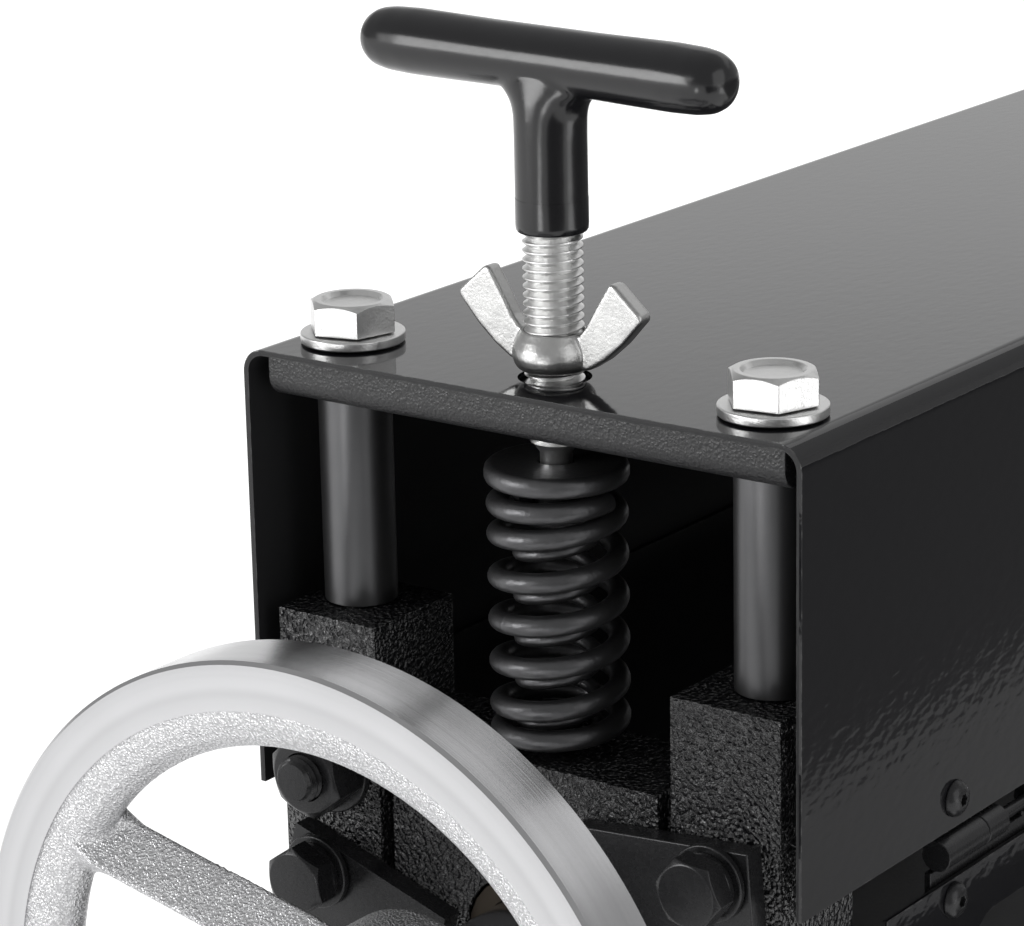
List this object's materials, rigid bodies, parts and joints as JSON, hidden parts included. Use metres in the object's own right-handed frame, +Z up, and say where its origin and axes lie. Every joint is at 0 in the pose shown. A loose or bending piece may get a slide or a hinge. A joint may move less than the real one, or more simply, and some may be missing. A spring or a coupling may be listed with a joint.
{
  "type": "etching press",
  "caption": "Table-top etching press with a sheet-metal cover, spring-loaded pressure screws, a handwheel and a sliding bed.",
  "frame": {"origin": "centre of the bounding box in X and Y, on the surface the press stands on", "axes": "+Z up; the rollers lie along Y with the handwheel at the -Y end; the bed travels along X, with the hinged guard on the +X side and the fixed apron on the -X side"},
  "size_m": [0.24, 0.4718, 0.2951],
  "materials": {
    "cast_paint": "coarse textured semi-gloss black paint on rough casting",
    "sheet_paint": "gloss black enamel on folded sheet",
    "vinyl": "dipped gloss black vinyl",
    "zinc": "bright zinc plate",
    "black_steel": "oil-blackened steel",
    "ground_steel": "ground bright steel",
    "wheel_iron": "rough silver casting with machined rim",
    "bronze": "plain bearing bronze",
    "felt": "charcoal pressed wool felt",
    "rubber": "matt black rubber"
  },
  "bodies": {
    "frame": {"base_plate": "cast_paint", "cover": "sheet_paint", "feed_apron": "sheet_paint", "front_crosshead": "cast_paint", "front_crosshead_bolt_1": "zinc", "front_crosshead_bolt_2": "zinc", "front_end_frame": "cast_paint", "front_foot_strip": "rubber", "front_hinge_cover_leaf": "black_steel", "front_inner_spring": "black_steel", "front_left_keeper": "black_steel", "front_left_keeper_bolt": "black_steel", "front_lower_bush": "bronze", "front_post_1": "black_steel", "front_post_2": "black_steel", "front_right_keeper": "black_steel", "front_right_keeper_bolt": "black_steel", "front_spring": "black_steel", "front_stud": "black_steel", "front_stud_nut": "black_steel", "front_washer_1": "zinc", "front_washer_2": "zinc", "rear_crosshead": "cast_paint", "rear_crosshead_bolt_1": "zinc", "rear_crosshead_bolt_2": "zinc", "rear_end_frame": "cast_paint", "rear_foot_strip": "rubber", "rear_hinge_cover_leaf": "black_steel", "rear_inner_spring": "black_steel", "rear_left_keeper": "black_steel", "rear_left_keeper_bolt": "black_steel", "rear_lower_bush": "bronze", "rear_post_1": "black_steel", "rear_post_2": "black_steel", "rear_right_keeper": "black_steel", "rear_right_keeper_bolt": "black_steel", "rear_spring": "black_steel", "rear_washer_1": "zinc", "rear_washer_2": "zinc"},
    "bed": {"bed_plate": "ground_steel", "felt_blanket": "felt"},
    "lower_roller": {"lower_roller": "ground_steel"},
    "upper_roller": {"upper_roller": "ground_steel", "handwheel": "wheel_iron"},
    "upper_bearings": {"front_bearing_block": "cast_paint", "front_upper_bush": "bronze", "rear_bearing_block": "cast_paint", "rear_upper_bush": "bronze"},
    "front_cap": {"front_spring_cap": "black_steel"},
    "rear_cap": {"rear_spring_cap": "black_steel"},
    "front_screw": {"front_pressure_screw": "zinc", "front_t_grip": "vinyl"},
    "rear_screw": {"rear_pressure_screw": "zinc", "rear_t_grip": "vinyl"},
    "front_wing": {"front_wing_nut": "zinc"},
    "rear_wing": {"rear_wing_nut": "zinc"},
    "guard": {"guard": "sheet_paint", "front_hinge_guard_leaf": "black_steel", "rear_hinge_guard_leaf": "black_steel"}
  },
  "joints": [
    {"name": "bed_travel", "type": "slide", "parent": "frame", "child": "bed", "axis": [1, 0, 0], "range_m": [-0.1, 0.1]},
    {"name": "upper_roller_spin", "type": "hinge", "parent": "upper_bearings", "child": "upper_roller", "pos_m": [0, 0, 0.1119], "axis": [0, 1, 0], "range_deg": [-240, 240]},
    {"name": "lower_roller_spin", "type": "hinge", "parent": "frame", "child": "lower_roller", "pos_m": [0, 0, 0.05], "axis": [0, 1, 0], "range_deg": [-240, 240]},
    {"name": "bearing_lift", "type": "slide", "parent": "frame", "child": "upper_bearings", "axis": [0, 0, 1], "range_m": [0, 0.003], "deforming": ["front_spring", "front_inner_spring", "rear_spring", "rear_inner_spring"]},
    {"name": "front_screw_feed", "type": "slide", "parent": "frame", "child": "front_cap", "axis": [0, 0, 1], "range_m": [-0.00525, 0.0035], "deforming": ["front_spring", "front_inner_spring"]},
    {"name": "front_screw_turn", "type": "hinge", "parent": "front_cap", "child": "front_screw", "pos_m": [0, -0.15225, 0.2267], "axis": [0, 0, 1], "range_deg": [-1080, 720]},
    {"name": "front_wing_nut_turn", "type": "hinge", "parent": "frame", "child": "front_wing", "pos_m": [0, -0.15225, 0.2267], "axis": [0, 0, 1], "range_deg": [-90, 90]},
    {"name": "rear_screw_feed", "type": "slide", "parent": "frame", "child": "rear_cap", "axis": [0, 0, 1], "range_m": [-0.00525, 0.0035], "deforming": ["rear_spring", "rear_inner_spring"]},
    {"name": "rear_screw_turn", "type": "hinge", "parent": "rear_cap", "child": "rear_screw", "pos_m": [0, 0.20775, 0.2267], "axis": [0, 0, 1], "range_deg": [-1080, 720]},
    {"name": "rear_wing_nut_turn", "type": "hinge", "parent": "frame", "child": "rear_wing", "pos_m": [0, 0.20775, 0.2267], "axis": [0, 0, 1], "range_deg": [-90, 90]},
    {"name": "guard_swing", "type": "hinge", "parent": "frame", "child": "guard", "pos_m": [0.0656, 0, 0.1296], "axis": [0, -1, 0], "range_deg": [0, 110]}
  ],
  "couplings": [
    {"joint": "upper_roller_spin", "follows": "bed_travel", "rad_per_m": -35.714},
    {"joint": "lower_roller_spin", "follows": "bed_travel", "rad_per_m": 40},
    {"joint": "front_screw_feed", "follows": "front_screw_turn", "m_per_rad": 0.00027852},
    {"joint": "rear_screw_feed", "follows": "rear_screw_turn", "m_per_rad": 0.00027852}
  ]
}
